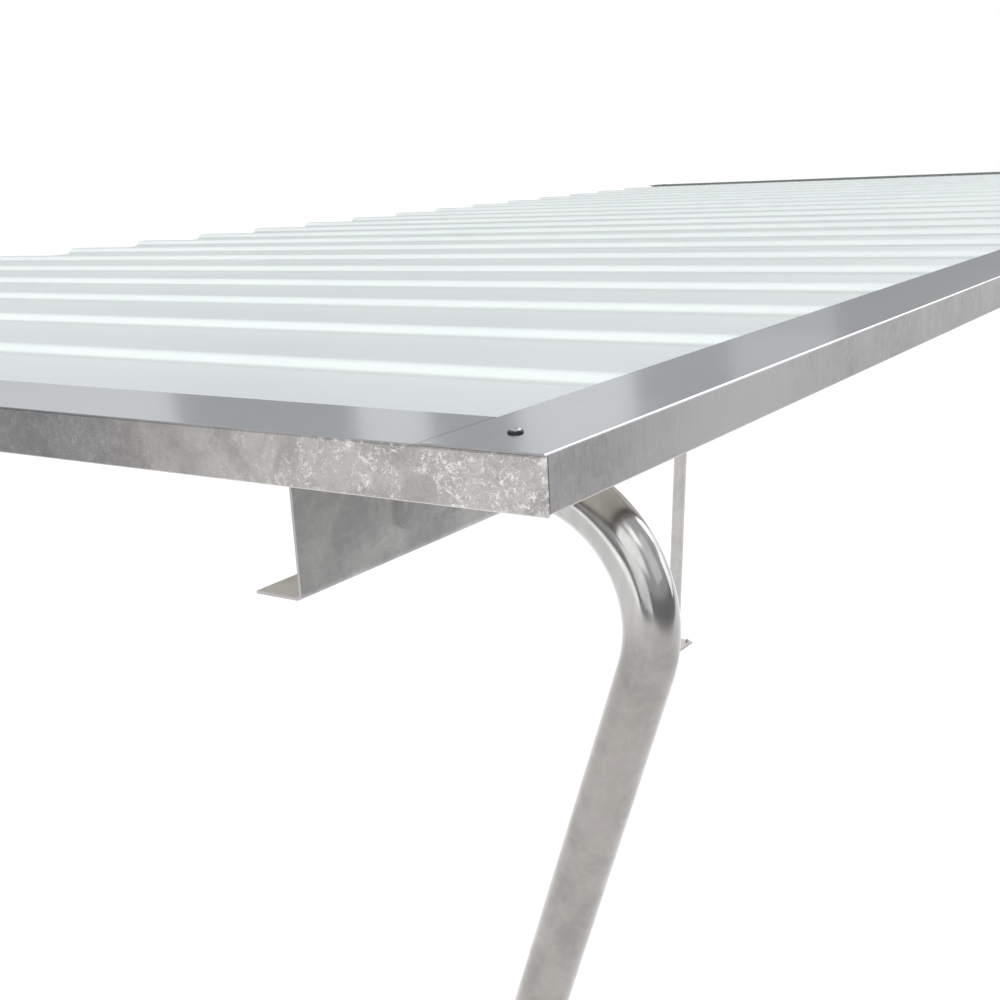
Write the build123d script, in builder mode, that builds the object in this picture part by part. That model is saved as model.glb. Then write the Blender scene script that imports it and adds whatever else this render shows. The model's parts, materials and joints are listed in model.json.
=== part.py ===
"""A free-standing bike shelter with a single-pitch roof.

Profiled sheets lie on Z-shaped purlins and are edged with folded trims on the high edge and both ends.
Two frames carry the purlins: each has a bent front post, a rafter in two lengths and a straight rear post.
X runs along the shelter, +Y points from the high front edge to the low eave, and +Z is up.
The origin is on the ground, under the middle of the roof. All lengths are in millimetres.
"""

import os
from math import cos, radians, sin

from build123d import *

# Roof as a whole
roof_length = 6500
roof_depth = 3300
roof_pitch = 3.8
front_height = 3000

# Folded edge trims
trim_thickness = 2
trim_flange = 128
trim_face = 52
trim_bend = 3
corner_gap = 1.5

# Profiled roof sheets
sheet_thickness = 1
rib_pitch = 300
rib_height = 16
rib_crown = 40
rib_side_run = 10
first_rib_least = 300
ribs_per_sheet = 3
lap_clearance = 0.3
lap_lip_drop = 8
verge_crown = 90
sheet_end_gap = 1

# Z-shaped purlins
purlin_height = 150
purlin_flange = 60
purlin_thickness = 3
purlin_bend = 4
purlin_end_gap = 3
front_purlin_inset = 289
rear_purlin_inset = 240

# Frames
frame_inset = 260
front_tube_diameter = 60.3
front_tube_wall = 3.6
front_bend_radius = 148
front_post_setback = 2
front_post_lean = 15.3
rafter_size = 60
rafter_wall = 4
rafter_corner = 6
end_plate_width = 200
end_plate_height = 90
end_plate_thickness = 8
end_plate_corner = 8
rear_tube_diameter = 76.1
rear_tube_wall = 3.6
cap_size = 110
cap_gap = 31
cap_thickness = 8

# Base plates
base_size = 180
base_thickness = 10
base_corner = 10
anchor_spacing = 130
anchor_hole_diameter = 14

# Allowance by which cuts and trimmed ends run past the material
overrun = 20

# Levels below the top of the front trim, square to the roof
crown_level = -trim_thickness
verge_level = crown_level - trim_thickness
pan_level = crown_level - rib_height
purlin_top = pan_level - sheet_thickness
purlin_bottom = purlin_top - purlin_height
rafter_level = purlin_top - purlin_height / 2
cap_top = rafter_level - rafter_size / 2
cap_bottom = cap_top - cap_thickness

# The roof's plane, with its middle line on X = 0 and the foot of the trims' slant counted in the depth
pitch_cos = cos(radians(roof_pitch))
pitch_sin = sin(radians(roof_pitch))
eave_reach = roof_depth * pitch_cos + crown_level * pitch_sin
face_reach = (crown_level - trim_face) * pitch_sin
front_y = -(eave_reach + face_reach) / 2
down_slope = Vector(0, pitch_cos, -pitch_sin)
roof_normal = Vector(0, pitch_sin, pitch_cos)
roof = Plane(origin=(0, front_y, front_height), x_dir=(1, 0, 0), z_dir=roof_normal)


def slope_section(distance):
    """Plane square to the slope, with X across it and the roof's normal up."""
    return Plane(origin=roof.from_local_coords((0, distance, 0)), x_dir=(1, 0, 0), z_dir=-down_slope)


def length_section(x):
    """Plane square to the shelter's length, with the slope across it and the roof's normal up."""
    return Plane(origin=roof.from_local_coords((x, 0, 0)), x_dir=down_slope, z_dir=(1, 0, 0))


def frame_section(x):
    """Upright plane of one frame, with Y across it and Z up."""
    return Plane(origin=(x, 0, 0), x_dir=(0, 1, 0), z_dir=(1, 0, 0))


def in_frame(distance, level):
    """Y and Z of a point given by its distance down the slope and its level square to the roof."""
    point = roof.from_local_coords((0, distance, level))
    return Vector(point.Y, point.Z)


def pair(point):
    """A point's first two coordinates, as a sketch plane takes them."""
    return (point.X, point.Y)


def write(part, name):
    """Label a finished piece and write it under its own name."""
    part.label = name
    export_step(part, f"parts/{name}.step")


os.makedirs("parts", exist_ok=True)
half_length = roof_length / 2
sides = {"left": -1, "right": 1}

# Roof sheets: the ribs are counted out from the middle, and sheets lap on every third rib
rib_count = int((roof_length - 2 * first_rib_least) // rib_pitch) + 1
rib_places = [(i - (rib_count - 1) / 2) * rib_pitch for i in range(rib_count)]
lap_ribs = list(range(ribs_per_sheet - 1, rib_count - 2, ribs_per_sheet))
side_run_per_drop = rib_side_run / rib_height
lap_drop = sheet_thickness + lap_clearance
verge_drop = verge_level - pan_level
verge_edge = half_length - trim_thickness - trim_bend - sheet_end_gap
verge_inner = half_length - verge_crown
sheet_start = trim_thickness + trim_bend + sheet_end_gap


def rib_outline(x):
    """Top line of a whole rib, from foot to foot."""
    half_crown = rib_crown / 2
    half_foot = half_crown + rib_side_run
    return [
        (x - half_foot, pan_level),
        (x - half_crown, crown_level),
        (x + half_crown, crown_level),
        (x + half_foot, pan_level),
    ]


def over_lap(x):
    """Top line of the rib half that starts a sheet and laps over its neighbour."""
    lip = (x - rib_crown / 2 - lap_lip_drop * side_run_per_drop, crown_level - lap_lip_drop)
    return [lip] + rib_outline(x)[1:]


def under_lap(x):
    """Top line of the lowered rib that ends a sheet and lies under its neighbour."""
    half_crown = rib_crown / 2
    half_foot = half_crown + rib_side_run - lap_drop * side_run_per_drop
    lowered = crown_level - lap_drop
    return [
        (x - half_foot, pan_level),
        (x - half_crown, lowered),
        (x + half_crown, lowered),
        (x + half_crown + lap_lip_drop * side_run_per_drop, lowered - lap_lip_drop),
    ]


def verge(side):
    """Top line of the raised edge that carries an end trim, from the outside in."""
    foot = verge_inner - verge_drop * side_run_per_drop
    return [(side * verge_edge, verge_level), (side * verge_inner, verge_level), (side * foot, pan_level)]


starts = [0] + [i + 1 for i in lap_ribs]
stops = lap_ribs + [rib_count]
for sheet_number, (first, last) in enumerate(zip(starts, stops), start=1):
    top_line = verge(-1) if first == 0 else over_lap(rib_places[first - 1])
    for i in range(first, last):
        top_line += rib_outline(rib_places[i])
    top_line += list(reversed(verge(1))) if last == rib_count else under_lap(rib_places[last])
    under_line = [(x, level - sheet_thickness) for x, level in reversed(top_line)]
    with BuildPart() as sheet:
        with BuildSketch(slope_section(sheet_start)):
            with BuildLine():
                Polyline(*top_line, *under_line, close=True)
            make_face()
        extrude(amount=-(roof_depth - sheet_start))
    write(sheet.part, f"roof_sheet_{sheet_number}")

# Front trim: a folded angle along the high edge, its face cut back so that the end trims' faces reach the corner
with BuildPart() as front_trim:
    with BuildSketch(length_section(-half_length)) as front_angle:
        with BuildLine():
            Polyline(
                (0, 0),
                (trim_flange, 0),
                (trim_flange, -trim_thickness),
                (trim_thickness, -trim_thickness),
                (trim_thickness, -trim_face),
                (0, -trim_face),
                close=True,
            )
        make_face()
        outer_corner = front_angle.vertices().sort_by_distance((0, 0))[0]
        fillet(outer_corner, trim_bend + trim_thickness)
        inner_corner = front_angle.vertices().sort_by_distance((trim_thickness, -trim_thickness))[0]
        fillet(inner_corner, trim_bend)
    extrude(amount=roof_length)
    with BuildSketch(slope_section(0)):
        for side in sides.values():
            with Locations((side * half_length, -trim_thickness)):
                Rectangle(2 * (trim_thickness + corner_gap), 2 * trim_face, align=(Align.CENTER, Align.MAX))
    extrude(amount=overrun, both=True, mode=Mode.SUBTRACT)
write(front_trim.part, "front_trim")

# End trims: the same angle, one thickness lower, under the ends of the front trim's flange.
# Their flanges stop short of the front trim's face, and their own faces run on to the corner.
for name, side in sides.items():
    with BuildPart() as end_trim:
        with BuildSketch(slope_section(0)) as end_angle:
            with BuildLine():
                Polyline(
                    (side * half_length, crown_level),
                    (side * (half_length - trim_flange), crown_level),
                    (side * (half_length - trim_flange), verge_level),
                    (side * (half_length - trim_thickness), verge_level),
                    (side * (half_length - trim_thickness), crown_level - trim_face),
                    (side * half_length, crown_level - trim_face),
                    close=True,
                )
            make_face()
            outer_corner = end_angle.vertices().sort_by_distance((side * half_length, crown_level))[0]
            fillet(outer_corner, trim_bend + trim_thickness)
            inner_place = (side * (half_length - trim_thickness), verge_level)
            inner_corner = end_angle.vertices().sort_by_distance(inner_place)[0]
            fillet(inner_corner, trim_bend)
        extrude(amount=-roof_depth)
        with BuildSketch(slope_section(0)):
            with Locations((side * (half_length - trim_thickness - trim_flange / 2), crown_level)):
                Rectangle(trim_flange, 2 * trim_face)
        extrude(amount=-(trim_thickness + trim_bend + corner_gap), mode=Mode.SUBTRACT)
    write(end_trim.part, f"{name}_trim")

# Purlins: the web stands square to the roof, the top flange points to the high edge and the bottom one to the eave
rear_web = roof_depth - rear_purlin_inset
purlin_webs = {
    "front": front_purlin_inset,
    "middle": (front_purlin_inset + rear_web) / 2,
    "rear": rear_web,
}
purlin_length = roof_length - 2 * (trim_thickness + purlin_end_gap)
for name, web in purlin_webs.items():
    back = web + purlin_thickness
    with BuildPart() as purlin:
        with BuildSketch(length_section(-purlin_length / 2)) as zed:
            with BuildLine():
                Polyline(
                    (back, purlin_top),
                    (back - purlin_flange, purlin_top),
                    (back - purlin_flange, purlin_top - purlin_thickness),
                    (web, purlin_top - purlin_thickness),
                    (web, purlin_bottom),
                    (web + purlin_flange, purlin_bottom),
                    (web + purlin_flange, purlin_bottom + purlin_thickness),
                    (back, purlin_bottom + purlin_thickness),
                    close=True,
                )
            make_face()
            for outer_place in ((back, purlin_top), (web, purlin_bottom)):
                fillet(zed.vertices().sort_by_distance(outer_place)[0], purlin_bend + purlin_thickness)
            inner_top = (web, purlin_top - purlin_thickness)
            inner_bottom = (back, purlin_bottom + purlin_thickness)
            for inner_place in (inner_top, inner_bottom):
                fillet(zed.vertices().sort_by_distance(inner_place)[0], purlin_bend)
        extrude(amount=purlin_length)
    write(purlin.part, f"{name}_purlin")

# Frame setting out, the same for both ends
lean_cos = cos(radians(front_post_lean))
lean_sin = sin(radians(front_post_lean))
bend_y = front_y + front_post_setback + front_tube_diameter / 2 + front_bend_radius
bend_level = rafter_level - front_bend_radius
bend_z = front_height + (bend_level - (bend_y - front_y) * pitch_sin) / pitch_cos
bend_centre = Vector(bend_y, bend_z)
arm_end = in_frame(front_purlin_inset - end_plate_thickness, rafter_level)
arm_tangent = bend_centre + Vector(pitch_sin, pitch_cos) * front_bend_radius
bend_front = bend_centre - Vector(front_bend_radius, 0)
leg_tangent = bend_centre - Vector(lean_cos, lean_sin) * front_bend_radius
leg_direction = Vector(lean_sin, -lean_cos)
leg_foot = leg_tangent + leg_direction * ((leg_tangent.Y - base_thickness) / lean_cos)
leg_end = leg_foot + leg_direction * overrun
cap_distance = rear_web - end_plate_thickness - cap_gap - cap_size / 2
rear_post_y = in_frame(cap_distance, cap_bottom).X


def end_plate(x, start, name):
    """Flat plate on a purlin's web, centred on the frame, from start down the slope."""
    with BuildPart() as plate:
        with BuildSketch(slope_section(start)) as outline:
            with Locations((x, rafter_level)):
                Rectangle(end_plate_width, end_plate_height)
            chamfer(outline.vertices(), end_plate_corner)
        extrude(amount=-end_plate_thickness)
    write(plate.part, name)


def base_plate(x, y, name):
    """Foot plate with four anchor holes."""
    with BuildPart() as plate:
        with BuildSketch(Plane(origin=(x, y, 0))) as outline:
            Rectangle(base_size, base_size)
            chamfer(outline.vertices(), base_corner)
            with GridLocations(anchor_spacing, anchor_spacing, 2, 2):
                Circle(anchor_hole_diameter / 2, mode=Mode.SUBTRACT)
        extrude(amount=base_thickness)
    write(plate.part, name)


for name, side in sides.items():
    frame_x = side * (half_length - frame_inset)

    # Front post: one tube from the purlin's web, round the bend and down the leaning leg
    with BuildPart() as front_post:
        with BuildLine(frame_section(frame_x)) as front_route:
            Line(pair(arm_end), pair(arm_tangent))
            ThreePointArc(pair(arm_tangent), pair(bend_front), pair(leg_tangent))
            Line(pair(leg_tangent), pair(leg_end))
        with BuildSketch(Plane(origin=front_route.line @ 0, z_dir=front_route.line % 0)):
            Circle(front_tube_diameter / 2)
            Circle(front_tube_diameter / 2 - front_tube_wall, mode=Mode.SUBTRACT)
        sweep()
        split(bisect_by=Plane.XY.offset(base_thickness), keep=Keep.TOP)
    write(front_post.part, f"{name}_front_post")
    end_plate(frame_x, front_purlin_inset - end_plate_thickness, f"{name}_front_post_plate")

    # Rafter in two lengths, each between two purlin webs
    for front_name, rear_name in (("front", "middle"), ("middle", "rear")):
        rafter_name = f"{name}_{'front' if front_name == 'front' else 'rear'}_rafter"
        front_web_back = purlin_webs[front_name] + purlin_thickness
        rear_web_front = purlin_webs[rear_name]
        rafter_start = front_web_back + end_plate_thickness
        rafter_stop = rear_web_front - end_plate_thickness
        with BuildPart() as rafter:
            with BuildSketch(slope_section(rafter_start)):
                with Locations((frame_x, rafter_level)):
                    RectangleRounded(rafter_size, rafter_size, rafter_corner)
                    rafter_bore = rafter_size - 2 * rafter_wall
                    RectangleRounded(rafter_bore, rafter_bore, rafter_corner - rafter_wall, mode=Mode.SUBTRACT)
            extrude(amount=-(rafter_stop - rafter_start))
        write(rafter.part, rafter_name)
        end_plate(frame_x, front_web_back, f"{rafter_name}_upper_plate")
        end_plate(frame_x, rafter_stop, f"{rafter_name}_lower_plate")

    # Rear post: an upright tube cut to the slope, with a cap plate under the rafter
    with BuildPart() as rear_post:
        with BuildSketch(Plane(origin=(frame_x, rear_post_y, base_thickness))):
            Circle(rear_tube_diameter / 2)
            Circle(rear_tube_diameter / 2 - rear_tube_wall, mode=Mode.SUBTRACT)
        extrude(amount=front_height)
        split(bisect_by=roof.offset(cap_bottom), keep=Keep.BOTTOM)
    write(rear_post.part, f"{name}_rear_post")
    with BuildPart() as cap:
        with BuildSketch(roof.offset(cap_bottom)) as outline:
            with Locations((frame_x, cap_distance)):
                Rectangle(cap_size, cap_size)
            chamfer(outline.vertices(), end_plate_corner)
        extrude(amount=cap_thickness)
    write(cap.part, f"{name}_rear_post_cap")

    base_plate(frame_x, leg_foot.X, f"{name}_front_base_plate")
    base_plate(frame_x, rear_post_y, f"{name}_rear_base_plate")
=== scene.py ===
# %% [markdown]
# A bike shelter, dressed around its frame.
# The shelter is a gently sloping roof of ribbed sheets. Folded zinc-coated trims edge it, Z-shaped purlins
# carry it, and tubes hold it up: bent ones in front, straight ones behind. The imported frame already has
# every piece at its size and place. This lesson adds the looks: the camera, the light, the finishes,
# smoother skins for the pieces that stand closest, and the small fastenings.

# %% Load the frame
import json
from math import atan2, cos, pi, radians, sin

import bmesh
import bpy
from mathutils import Matrix, Vector


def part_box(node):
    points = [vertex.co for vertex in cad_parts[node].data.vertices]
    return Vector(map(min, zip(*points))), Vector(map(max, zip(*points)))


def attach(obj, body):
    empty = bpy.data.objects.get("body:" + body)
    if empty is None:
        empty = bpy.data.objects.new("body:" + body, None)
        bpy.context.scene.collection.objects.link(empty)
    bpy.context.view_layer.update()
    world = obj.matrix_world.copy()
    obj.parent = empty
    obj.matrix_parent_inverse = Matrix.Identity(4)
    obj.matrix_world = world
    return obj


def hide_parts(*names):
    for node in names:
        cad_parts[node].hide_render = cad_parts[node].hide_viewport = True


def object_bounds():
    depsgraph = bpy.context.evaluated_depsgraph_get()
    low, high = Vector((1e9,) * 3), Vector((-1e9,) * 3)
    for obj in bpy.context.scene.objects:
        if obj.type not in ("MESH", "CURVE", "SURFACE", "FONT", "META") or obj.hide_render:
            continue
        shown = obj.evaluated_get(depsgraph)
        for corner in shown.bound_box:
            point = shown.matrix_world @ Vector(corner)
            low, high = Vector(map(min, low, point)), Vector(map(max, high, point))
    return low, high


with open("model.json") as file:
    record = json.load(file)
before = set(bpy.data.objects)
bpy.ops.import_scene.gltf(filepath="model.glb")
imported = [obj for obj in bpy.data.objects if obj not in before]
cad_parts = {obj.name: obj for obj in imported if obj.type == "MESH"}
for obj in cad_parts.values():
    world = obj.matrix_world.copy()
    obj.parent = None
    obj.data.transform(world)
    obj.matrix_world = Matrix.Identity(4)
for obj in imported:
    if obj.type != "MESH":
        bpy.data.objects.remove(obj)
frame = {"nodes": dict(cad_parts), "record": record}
cad_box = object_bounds()
nodes = frame["nodes"]
bpy.ops.object.select_all(action="DESELECT")
print("nodes loaded:", len(nodes))

# %% [markdown]
# Setting out.
# Everything on the roof is square to the roof and not to the ground, so it pays to think in the roof's own
# frame: X along the shelter, Y down the slope and Z square to the sheets. One matrix turns that frame into
# the world's. Its origin is the top of the high edge, found from the front trim's box and the way its face
# leans.

# %% The roof's own frame
roof_pitch = radians(3.8)
trim_face = 0.052
trim_flange = 0.128
trim_thickness = 0.002
trim_low, trim_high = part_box("front_trim")
half_length = trim_high.x
roof_origin = Vector((
    0,
    trim_low.y + trim_face * sin(roof_pitch),
    trim_low.z + trim_face * cos(roof_pitch) + trim_thickness * sin(roof_pitch),
))
roof_frame = Matrix.Translation(roof_origin) @ Matrix.Rotation(-roof_pitch, 4, "X")
near_corner = roof_frame @ Vector((-half_length, 0, 0))
print("near corner of the roof:", [round(c, 4) for c in near_corner])

# %% [markdown]
# The camera.
# The photograph looks down on the near high corner from just above it, so the edges run away steeply to
# both sides. The camera's place is kept as a step away from that corner, and its aim as a direction.

# %% Camera
camera_step = Vector((-0.9034, -0.5653, 0.2770))
camera_aim = Vector((0.7947, 0.5364, -0.2841))
camera_lens = 48.93
camera_reach = 400.0
bpy.ops.object.camera_add(
    location=near_corner + camera_step,
    rotation=camera_aim.to_track_quat("-Z", "Y").to_euler(),
)
camera = bpy.context.active_object
camera.data.lens = camera_lens
camera.data.clip_end = camera_reach
bpy.context.scene.camera = camera
bpy.context.scene.view_settings.view_transform = "Standard"
print("camera at", [round(c, 3) for c in camera.location])

# %% [markdown]
# The studio.
# The shelter stands on a plain white floor with no wall in sight. The floor glows, as a light table does,
# so that the roof's shadow on it stays faint. It ends about ten metres in front of the shelter, and the
# bent tubes mirror the darker room beyond. The sky is dim at the horizon and brighter overhead, and the
# camera alone sees it as white. Upright faces then mirror the light floor and level ones the dimmer sky,
# which tells a face from a flange.


# %% Floor
def new_finish(name):
    """A node material with its shader, ready to be wired."""
    finish = bpy.data.materials.new(name)
    finish.use_nodes = True
    return finish, finish.node_tree, finish.node_tree.nodes["Principled BSDF"]


def set_inputs(node, values):
    """Give some inputs of a node their constant numbers or colours."""
    for name, value in values.items():
        node.inputs[name].default_value = value


def settle():
    """Put the place, turn and size of the selected piece into its mesh."""
    bpy.ops.object.transform_apply(location=True, rotation=True, scale=True)


floor_low = Vector((-14, -12.5, 0))
floor_high = Vector((60, 60, 0))
bpy.ops.mesh.primitive_plane_add(size=1, location=(floor_low + floor_high) / 2)
floor = bpy.context.active_object
floor.name = "studio_floor"
floor.scale = (*(floor_high - floor_low).xy, 1)
settle()
floor_finish, _, floor_shader = new_finish("pale_floor")
set_inputs(floor_shader, {
    "Base Color": (0.15, 0.15, 0.15, 1),
    "Roughness": 1.0,
    "Specular IOR Level": 0.0,
    "Emission Color": (1, 1, 1, 1),
    "Emission Strength": 0.97,
})
floor.data.materials.append(floor_finish)
print("floor from", list(floor_low.xy), "to", list(floor_high.xy))


# %% Sky
def one_part(tree, vector, axis):
    """The X, Y or Z of a vector."""
    parts = tree.nodes.new("ShaderNodeSeparateXYZ")
    tree.links.new(vector, parts.inputs["Vector"])
    return parts.outputs[axis]


world = bpy.data.worlds.new("studio_world")
bpy.context.scene.world = world
world.use_nodes = True
sky = world.node_tree
sky_light = sky.nodes["Background"]
sky_glow = ((0.0, 0.28), (0.05, 0.33), (0.12, 0.54), (0.2, 0.54), (0.45, 0.64), (1.0, 0.78))
sky_tint = (0.97, 0.985, 1.0)
sky_place = sky.nodes.new("ShaderNodeTexCoord")
sky_ramp = sky.nodes.new("ShaderNodeValToRGB")
while len(sky_ramp.color_ramp.elements) < len(sky_glow):
    sky_ramp.color_ramp.elements.new(0.5)
for stop, (height, glow) in zip(sky_ramp.color_ramp.elements, sky_glow):
    stop.position = height
    stop.color = (*(part * glow for part in sky_tint), 1)
sky_white = sky.nodes.new("ShaderNodeBackground")
sky_white.inputs["Color"].default_value = (1, 1, 1, 1)
sky_rays = sky.nodes.new("ShaderNodeLightPath")
sky_mix = sky.nodes.new("ShaderNodeMixShader")
for source, target in (
    (one_part(sky, sky_place.outputs["Generated"], "Z"), sky_ramp.inputs["Fac"]),
    (sky_ramp.outputs["Color"], sky_light.inputs["Color"]),
    (sky_rays.outputs["Is Camera Ray"], sky_mix.inputs["Fac"]),
    (sky_light.outputs["Background"], sky_mix.inputs[1]),
    (sky_white.outputs["Background"], sky_mix.inputs[2]),
    (sky_mix.outputs["Shader"], sky.nodes["World Output"].inputs["Surface"]),
):
    sky.links.new(source, target)
print("sky set")


# %% [markdown]
# Soft panels.
# Bright metal looks like what it mirrors, so the light comes from large soft panels, as in a car studio.
# Four far ones stand low behind the roof: their edges give the flanges slow bands of light and dark. Eight
# round the front draw the white line along the front fold and the streaks along the bent tubes. These are
# for the metal alone. A big one at the end of the shelter is for the paint alone, and makes the near side
# of every rib the brightest.


# %% Soft panels
def soft_panel(name, heading, elevation, distance, width, height, glow, lights_paint=False):
    """A rectangular light that faces the near corner. Its heading is in degrees from +X towards +Y."""
    turn = radians(heading)
    lift = radians(elevation)
    outward = Vector((cos(turn) * cos(lift), sin(turn) * cos(lift), sin(lift)))
    bpy.ops.object.light_add(
        type="AREA",
        location=near_corner + distance * outward,
        rotation=(-outward).to_track_quat("-Z", "Y").to_euler(),
    )
    panel = bpy.context.active_object
    panel.name = name
    panel.visible_diffuse = lights_paint
    panel.visible_glossy = not lights_paint
    panel.data.shape = "RECTANGLE"
    panel.data.size = width
    panel.data.size_y = height
    panel.data.energy = glow * pi * width * height


soft_panel("far_panel_left", 57.5, 14, 40, 12, 18, 0.35)
soft_panel("far_panel_middle", 39.9, 14, 40, 2.2, 18, 0.36)
soft_panel("far_panel_near", 31.9, 14, 40, 3.6, 18, 0.36)
soft_panel("far_panel_right", 22.9, 14, 40, 3.1, 18, 0.14)
soft_panel("fold_panel", -5, 29, 14, 10, 7, 3.0)
soft_panel("bend_edge_panel", -28, 5, 14, 5.8, 4.4, 1.35)
soft_panel("bend_rim_panel", -4, 8, 14, 5.4, 4.4, 1.0)
soft_panel("bend_front_panel", -80, 27, 14, 9, 7, 0.35)
soft_panel("bend_glint_panel", -101, 42, 14, 4, 3, 1.6)
soft_panel("bend_middle_panel", -140, 29, 14, 11, 6.4, 1.0)
soft_panel("bend_low_panel", -154, 3, 14, 8.6, 6, 0.85)
soft_panel("bend_inner_panel", 165, -10.5, 14, 7, 2.4, 1.7)
soft_panel("rib_panel", 165, 20, 16, 18, 12, 3.1, lights_paint=True)

# %% [markdown]
# Tools for the finishes.
# A finish is a small network of nodes: noise in the piece's own coordinates drives the colour, the
# roughness and a shallow bump. The same few steps come back in every finish, so each step is a helper with
# a plain name. All lengths are metres, so a noise scale of 50 gives blotches of about 20 mm.


# %% Helpers for the finishes
def stretched(tree, scale=(1, 1, 1)):
    """Object coordinates, multiplied along each axis where a scale is given."""
    place = tree.nodes.new("ShaderNodeTexCoord")
    mapping = tree.nodes.new("ShaderNodeMapping")
    set_inputs(mapping, {"Scale": scale})
    tree.links.new(place.outputs["Object"], mapping.inputs["Vector"])
    return mapping.outputs["Vector"]


def clouds(tree, vector, scale, detail, roughness=0.5, distortion=0.0):
    """Soft noise between 0 and 1."""
    noise = tree.nodes.new("ShaderNodeTexNoise")
    set_inputs(noise, {"Scale": scale, "Detail": detail, "Roughness": roughness, "Distortion": distortion})
    tree.links.new(vector, noise.inputs["Vector"])
    return noise.outputs["Fac"]


def spread(tree, value, low, high, to_low=0.0, to_high=1.0):
    """A value between low and high, stretched to another range and held at its ends."""
    span = tree.nodes.new("ShaderNodeMapRange")
    span.interpolation_type = "SMOOTHSTEP"
    set_inputs(span, {"From Min": low, "From Max": high, "To Min": to_low, "To Max": to_high})
    tree.links.new(value, span.inputs["Value"])
    return span.outputs["Result"]


def joined(tree, operation, first, second):
    """Two values, or a value and a number, through one step of arithmetic."""
    step = tree.nodes.new("ShaderNodeMath")
    step.operation = operation
    for socket, source in zip(step.inputs, (first, second)):
        if isinstance(source, (int, float)):
            socket.default_value = source
        else:
            tree.links.new(source, socket)
    return step.outputs["Value"]


def times(tree, first, second):
    """Two values multiplied, or a value and a number."""
    return joined(tree, "MULTIPLY", first, second)


def lit(colour, gain):
    """A colour made lighter or darker."""
    return tuple(gain * part for part in colour)


def tint(tree, share, first, second, kind="RGBA"):
    """A colour between two, each given as numbers or as a node's output. With kind VALUE, a value."""
    mix = tree.nodes.new("ShaderNodeMix")
    mix.data_type = "RGBA" if kind == "RGBA" else "FLOAT"
    tree.links.new(share, mix.inputs["Factor"])
    for name, source in (("A", first), ("B", second)):
        socket = [s for s in mix.inputs if s.name == name and s.type == kind][0]
        if isinstance(source, tuple):
            socket.default_value = (*source, 1)
        else:
            tree.links.new(source, socket)
    return [s for s in mix.outputs if s.type == kind][0]


def veins(tree, vector, scale, width, detail, distortion):
    """Thin winding lines where a noise passes its middle value."""
    middle = joined(tree, "SUBTRACT", clouds(tree, vector, scale, detail, 0.55, distortion), 0.5)
    return spread(tree, joined(tree, "ABSOLUTE", middle, 0.0), 0.0, width, 1.0, 0.0)


def facing(tree, axis):
    """One part of the direction that a surface faces, from -1 to 1."""
    return one_part(tree, tree.nodes.new("ShaderNodeNewGeometry").outputs["Normal"], axis)


def facing_up(tree):
    """1 on faces that look at the sky, 0 on upright ones."""
    return spread(tree, facing(tree, "Z"), 0.6, 0.95)


def facing_down(tree):
    """1 on edges that look at the ground, 0 on upright faces."""
    return spread(tree, facing(tree, "Z"), -0.6, -0.15, 1.0, 0.0)


def facing_side(tree):
    """1 on cut ends that look along the shelter, 0 on faces square to them."""
    return spread(tree, joined(tree, "ABSOLUTE", facing(tree, "X"), 0.0), 0.15, 0.5)


def along(tree, axis):
    """One object coordinate, in metres."""
    return one_part(tree, tree.nodes.new("ShaderNodeTexCoord").outputs["Object"], axis)


def from_corner(tree, axis, start, stop, to_start=0.0, to_stop=1.0):
    """A value that changes between two distances from the near corner, in metres."""
    corner = near_corner["XYZ".index(axis)]
    return spread(tree, along(tree, axis), corner + start, corner + stop, to_start, to_stop)


def roof_level(tree):
    """Height square to the sheets, in metres above the top of the high edge."""
    down = joined(tree, "SUBTRACT", along(tree, "Y"), roof_origin.y)
    rise = joined(tree, "SUBTRACT", along(tree, "Z"), roof_origin.z)
    sloped = times(tree, down, sin(roof_pitch))
    return joined(tree, "ADD", sloped, times(tree, rise, cos(roof_pitch)))


def painted_edge_light(tree, bottom):
    """The share of painted highlight on the lowest millimetre of a trim's face."""
    return spread(tree, roof_level(tree), bottom + 0.0006, bottom + 0.0012, 0.8, 0.0)


def wire(tree, shader, colour, roughness, height, depth, strength, metal=1.0):
    """Wire a shader: its colour, its roughness, a shallow bump and how much of a metal it is."""
    bump = tree.nodes.new("ShaderNodeBump")
    set_inputs(bump, {"Strength": strength, "Distance": depth})
    set_inputs(shader, {"Metallic": metal})
    tree.links.new(height, bump.inputs["Height"])
    tree.links.new(colour, shader.inputs["Base Color"])
    tree.links.new(roughness, shader.inputs["Roughness"])
    tree.links.new(bump.outputs["Normal"], shader.inputs["Normal"])


print("finish helpers ready")

# %% [markdown]
# Zinc on the end trims.
# Steel that is dipped in molten zinc comes out blotched: the metal runs and freezes in swirls, with pale
# veins between duller patches. On this shelter they show most on the ends' faces near the corner. The
# flanges on top are rolled smooth and look bluish, so the pattern fades where the surface faces up. A thin
# line of painted shadow marks where the front trim's flange laps over, and a painted highlight lights the
# lowest millimetre of the face and the edges that face down.


# %% End trim zinc
lap_y = near_corner.y + trim_flange * cos(roof_pitch)
# A painted shadow beside the front flange's lap: full up to the first distance, gone by the second.
lap_shade_full = 0.0085
lap_shade_end = 0.0115


def rolled_flange(tree, place, brush_scale):
    """Colour and roughness of a smooth flange: slow tone, brush marks along it and fine specks."""
    slow = clouds(tree, place, 5, 3)
    brushed = clouds(tree, stretched(tree, brush_scale), 1, 3, 0.6)
    speckle = clouds(tree, place, 420, 3, 0.6)
    fine_marks = joined(tree, "ADD", times(tree, brushed, 0.4), times(tree, speckle, 0.3))
    satin = joined(tree, "ADD", times(tree, slow, 0.3), fine_marks)
    colour = tint(tree, spread(tree, satin, 0.35, 0.65), (0.425, 0.448, 0.465), (0.515, 0.538, 0.555))
    return colour, spread(tree, satin, 0.3, 0.7, 0.12, 0.18)


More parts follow.
